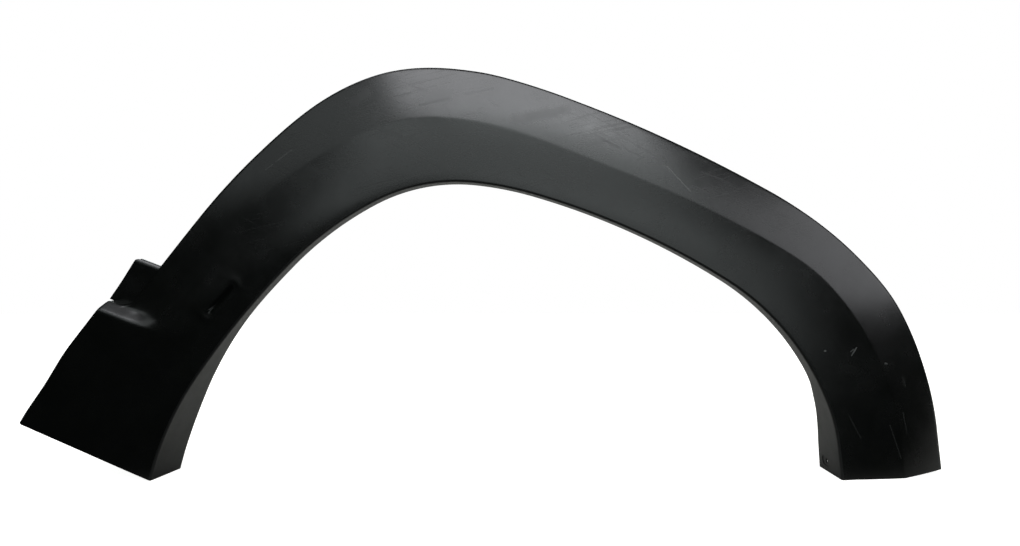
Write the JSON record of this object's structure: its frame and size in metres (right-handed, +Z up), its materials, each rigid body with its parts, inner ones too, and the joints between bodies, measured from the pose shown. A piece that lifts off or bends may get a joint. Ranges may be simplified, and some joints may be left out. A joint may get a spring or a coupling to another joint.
{
  "type": "wheel arch trim",
  "caption": "Moulded plastic trim panel that frames a wheel opening, with a bevelled outer face, a deep return flange, a recessed fixing tab and clip seats on its back.",
  "frame": {"origin": "on the floor under the middle of the panel's length and depth, as it stands on its two feet", "axes": "+X along the trim from the wide foot to the narrow foot, +Y from its outer face into the vehicle body, +Z up"},
  "size_m": [1.093, 0.0828, 0.4848],
  "materials": {
    "moulding": "fine-grained satin, as moulded"
  },
  "bodies": {
    "root": {"wheel_arch_trim": "moulding"}
  },
  "joints": []
}
